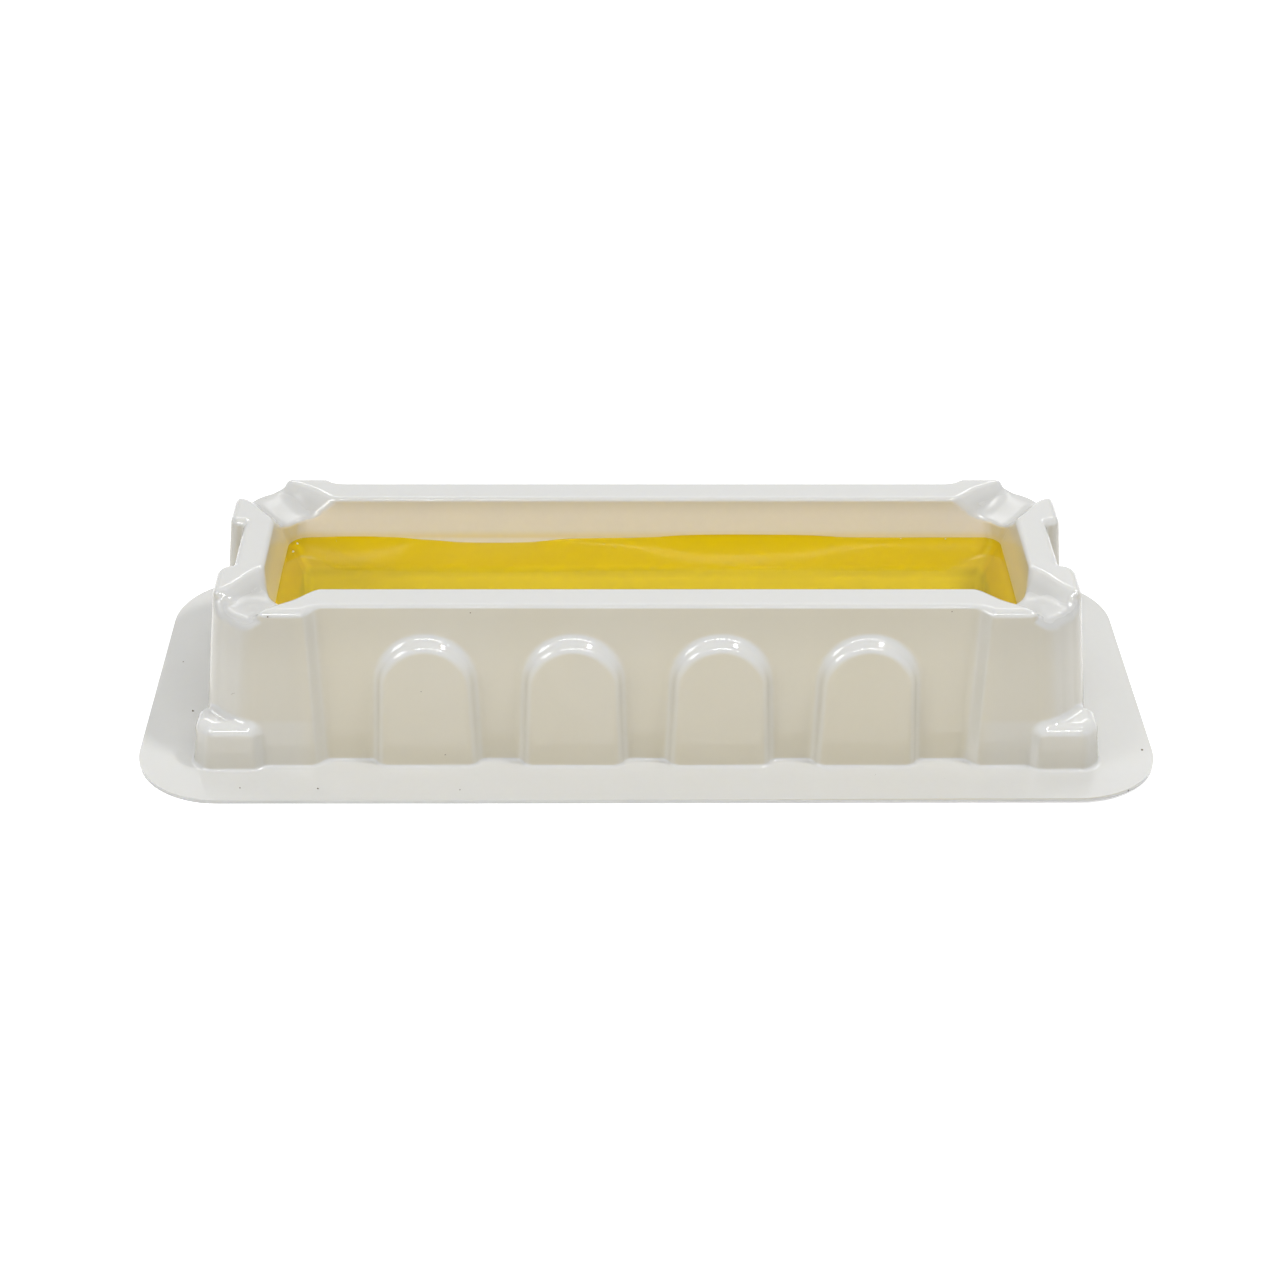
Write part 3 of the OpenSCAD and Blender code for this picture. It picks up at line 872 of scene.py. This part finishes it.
def basin_colour(scene, paint, face_x, steep):
    """Where light thrown back by the reagent is painted on the basin, with painted shade on its
    floor, and the sheet's colour there.
    """
    finish, basin = scene.reservoir_finish, scene.reservoir_basin
    half_l, half_w = basin.basin_l / 2, basin.basin_w / 2
    in_x = paint.ease(paint.off(paint.x), half_l + 0.2 * MM, half_l - 0.8 * MM)
    in_y = paint.ease(paint.off(paint.y), half_w + 0.2 * MM, half_w - 0.4 * MM)
    reagent_lit = paint.math("MAXIMUM", steep, paint.ease(paint.z, LEVEL, LEVEL - MM))
    inside = paint.times(in_x, in_y, reagent_lit)
    by_end = paint.ease(paint.off(face_x), 0.4, 0.9)
    glow = paint.mix(by_end, tuple(finish.inside), tuple(finish.end))
    # A band just above the level is still wet, and the floor under the reagent gets painted shade
    wet = paint.ease(paint.z, LEVEL + 1.6 * MM, LEVEL - 0.4 * MM)
    over = paint.ease(paint.z, LEVEL - 0.2 * MM, LEVEL + 0.5 * MM)
    glow = paint.mix(paint.times(wet, over), glow, tuple(finish.wetted))
    sunk = paint.ease(paint.z, LEVEL - 8 * MM, LEVEL - 10 * MM)
    return inside, paint.mix(sunk, glow, tuple(finish.sunk))


def reagent_finish(scene):
    """Clear yellow liquid that lets the lamps through to the sheet under it."""
    paint = Paint("Yellow reagent")
    finish = scene.reservoir_finish
    paint.set(Base_Color=(*finish.reagent, 1), Roughness=0.0, IOR=1.3, Transmission_Weight=1.0,
              Specular_Tint=(*finish.gleam, 1))
    clear = paint.add("ShaderNodeBsdfTransparent", {"Color": (*finish.through, 1)})
    path = paint.add("ShaderNodeLightPath")
    mix = paint.add("ShaderNodeMixShader", {
        0: path.outputs["Is Shadow Ray"], 1: paint.surface.outputs[0], 2: clear.outputs[0]})
    paint.join(mix.outputs[0], paint.out.inputs["Surface"])
    return paint.material


def bubble_and_glint_finish(scene):
    """Pale film of a bubble, a little yellow as painted light from the reagent round it, and nearly
    white as a painted highlight for the glints on the reagent's edge.
    """
    paint = Paint("Bubble film")
    film = (*scene.reservoir_finish.film, 1)
    paint.set(Base_Color=film, Roughness=0.05, IOR=1.5, Alpha=0.85)
    return paint.material


def dust_finish(scene):
    """Dull dark dust, a little browner in places."""
    paint = Paint("Dust")
    finish = scene.reservoir_finish
    dull = paint.mix(paint.noise(0.2 * MM), tuple(finish.speck), tuple(finish.brown))
    paint.set(Base_Color=dull, Roughness=0.9)
    return paint.material


class RESERVOIR_OT_sheet(bpy.types.Operator):
    """Make the formed sheet: flange, skirt, blocks, spouts, lugs, pads and basin"""

    bl_idname = "reservoir.sheet"
    bl_label = "Make Formed Sheet"
    bl_options = {"REGISTER", "UNDO"}

    def execute(self, context):
        scene = context.scene
        thickness = scene.reservoir_sheet.thickness
        mesh = made(
            scene, sheet_tree(sheet_finish(scene)),
            ("DECIMATE", {"ratio": KEPT_SHARE}),
            ("SOLIDIFY", {"thickness": thickness, "offset": -1.0, "use_even_offset": True}),
        )
        mesh.set_sharp_from_angle(angle=SHARP_EDGE)
        even = ("WEIGHTED_NORMAL", {"weight": 60, "keep_sharp": True})
        mesh = made(scene, None, even, start=mesh)
        # The wall's thickening may overshoot the sheet's box by a few thousandths of a millimetre
        for vertex in mesh.vertices:
            place = zip(vertex.co, CAD_LOW, CAD_HIGH)
            vertex.co = [min(max(c, low), high) for c, low, high in place]
        piece("formed_sheet", mesh, "sheet", "tray")
        return {"FINISHED"}


class RESERVOIR_OT_reagent(bpy.types.Operator):
    """Make the reagent that fills the basin"""

    bl_idname = "reservoir.reagent"
    bl_label = "Make Reagent"
    bl_options = {"REGISTER", "UNDO"}

    def execute(self, context):
        scene = context.scene
        mesh = made(scene, liquid_tree(reagent_finish(scene)))
        piece("reagent_fill", mesh, "liquid", "reagent")
        return {"FINISHED"}


class RESERVOIR_OT_bubbles(bpy.types.Operator):
    """Make the small bubbles along the edge of the reagent, white as painted glints"""

    bl_idname = "reservoir.bubbles"
    bl_label = "Make Bubbles"
    bl_options = {"REGISTER", "UNDO"}

    def execute(self, context):
        scene = context.scene
        tree = grains_tree("Bubbles", bubble_and_glint_finish(scene), long=False)
        piece("reagent_bubbles", made(scene, tree, start=placed(BUBBLES)), "liquid")
        return {"FINISHED"}


class RESERVOIR_OT_dust(bpy.types.Operator):
    """Make the dust specks and the fibres on the sheet"""

    bl_idname = "reservoir.dust"
    bl_label = "Make Dust"
    bl_options = {"REGISTER", "UNDO"}

    def execute(self, context):
        scene = context.scene
        specks = grains_tree("Specks", dust_finish(scene), long=False)
        piece("dust_specks", made(scene, specks, start=placed(DUST)), "sheet")
        fibres = grains_tree("Lint", dust_finish(scene), long=True)
        piece("dust_lint", made(scene, fibres, start=placed(LINT)), "sheet")
        return {"FINISHED"}


class RESERVOIR_OT_stage(bpy.types.Operator):
    """Make the bench, the backdrop, the lamps and the camera"""

    bl_idname = "reservoir.stage"
    bl_label = "Make Stage"
    bl_options = {"REGISTER", "UNDO"}

    def execute(self, context):
        scene = context.scene
        stage = scene.reservoir_stage
        camera = bpy.data.objects.new("Camera", bpy.data.cameras.new("Camera"))
        scene.collection.objects.link(camera)
        camera.data.sensor_width = 36
        camera.data.lens = stage.lens
        camera.data.shift_x = stage.shift
        camera.data.clip_start, camera.data.clip_end = 0.01, 20
        camera.location = stage.camera_at
        camera.rotation_euler = Euler((stage.camera_tilt, 0, 0))
        scene.camera = camera
        scene.view_settings.view_transform = "Standard"
        for name, (place, oblong) in LAMPS.items():
            lamp(scene, name.title(), place, oblong, getattr(stage, name))
        sky(scene, stage.sky, stage.back_sky)
        floor = bpy.data.meshes.new("Bench")
        reach = 6.0
        corners = [(x * reach, y * reach, 0) for x, y in ((-1, -1), (1, -1), (1, 1), (-1, 1))]
        floor.from_pydata(corners, [], [(0, 1, 2, 3)])
        floor.materials.append(bench_finish(scene))
        bench = bpy.data.objects.new("bench", floor)
        scene.collection.objects.link(bench)
        return {"FINISHED"}


def lamp(scene, name, place, oblong, watts):
    """An oblong lamp that faces the middle of the tray."""
    data = bpy.data.lights.new(name, "AREA")
    data.shape = "RECTANGLE"
    data.energy, data.size, data.size_y = watts, *oblong
    obj = bpy.data.objects.new(name, data)
    scene.collection.objects.link(obj)
    obj.location = place
    obj.rotation_euler = (Vector((0, 0, 0.01)) - Vector(place)).to_track_quat("-Z", "Y").to_euler()


def emptied(holder):
    """The node tree of a new world or material, with nothing in it."""
    holder.use_nodes = True
    holder.node_tree.nodes.clear()
    return Nodes(holder.node_tree)


def sky(scene, strength, behind):
    """Plain light, a little stronger from behind, and pure white where it is seen."""
    scene.world = bpy.data.worlds.new("Sky")
    tree = emptied(scene.world)
    where = tree.add("ShaderNodeTexCoord").outputs["Generated"]
    _, toward_back, _ = tree.parts(where)
    fade = tree.ease(toward_back, 0.2, 0.8, strength, behind)
    light = tree.add("ShaderNodeBackground", {"Color": WHITE, "Strength": fade})
    seen = tree.add("ShaderNodeBackground", {"Color": WHITE, "Strength": 1.0})
    mix = tree.add("ShaderNodeMixShader", {
        0: seen_rays(tree), 1: light.outputs[0], 2: seen.outputs[0]})
    tree.add("ShaderNodeOutputWorld", {0: mix.outputs[0]})


def seen_rays(tree):
    """1 for the rays that show a surface: the camera's, and those that gloss or glass turns."""
    path = tree.add("ShaderNodeLightPath")
    total = path.outputs["Is Camera Ray"]
    for name in ("Is Glossy Ray", "Is Transmission Ray"):
        total = tree.math("MAXIMUM", total, path.outputs[name])
    # Light that a dull surface has passed on stays as plain as the rest
    first = tree.math("LESS_THAN", path.outputs["Diffuse Depth"], 0.5)
    return tree.math("MULTIPLY", total, first)


def bench_finish(scene):
    """Pale bench that looks white, apart from the tray's shadow on it."""
    material = bpy.data.materials.new("Pale bench")
    tree = emptied(material)
    matt = tree.add("ShaderNodeBsdfDiffuse", {"Color": (*scene.reservoir_finish.bench, 1)})
    share = tree.math("MULTIPLY", seen_rays(tree), scene.reservoir_stage.bench_glow)
    glow = tree.add("ShaderNodeEmission", {"Color": WHITE, "Strength": share})
    both = tree.add("ShaderNodeAddShader", {0: matt.outputs[0], 1: glow.outputs[0]})
    tree.add("ShaderNodeOutputMaterial", {0: both.outputs[0]})
    return material


class RESERVOIR_PT_panel(bpy.types.Panel):
    """Lists the pieces and their sizes"""

    bl_idname = "RESERVOIR_PT_panel"
    bl_label = "Reagent Reservoir"
    bl_space_type = "VIEW_3D"
    bl_region_type = "UI"
    bl_category = "Reservoir"

    def draw(self, context):
        layout = self.layout
        for operator in OPERATORS:
            layout.operator(operator.bl_idname)
        for group, place in PLACES.items():
            box = layout.box()
            box.label(text=group.__doc__)
            values = getattr(context.scene, place)
            for key in group.__annotations__:
                box.prop(values, key)


PLACES = {
    SheetSizes: "reservoir_sheet",
    SpoutSizes: "reservoir_spouts",
    BasinSizes: "reservoir_basin",
    LiquidSizes: "reservoir_liquid",
    GrainSizes: "reservoir_grains",
    Finish: "reservoir_finish",
    StageSizes: "reservoir_stage",
}
OPERATORS = (RESERVOIR_OT_sheet, RESERVOIR_OT_reagent, RESERVOIR_OT_bubbles,
             RESERVOIR_OT_dust, RESERVOIR_OT_stage)
CLASSES = (*PLACES, *OPERATORS, RESERVOIR_PT_panel)


def register():
    """Adds the classes and the scene's sizes."""
    for cls in CLASSES:
        bpy.utils.register_class(cls)
    for group, place in PLACES.items():
        setattr(bpy.types.Scene, place, PointerProperty(type=group))


def unregister():
    """Takes them away again."""
    for place in PLACES.values():
        delattr(bpy.types.Scene, place)
    for cls in reversed(CLASSES):
        bpy.utils.unregister_class(cls)


def main():
    """Makes every piece and the stage."""
    register()
    bpy.ops.reservoir.sheet()
    bpy.ops.reservoir.reagent()
    bpy.ops.reservoir.bubbles()
    bpy.ops.reservoir.dust()
    bpy.ops.reservoir.stage()


if __name__ == "__main__":
    main()
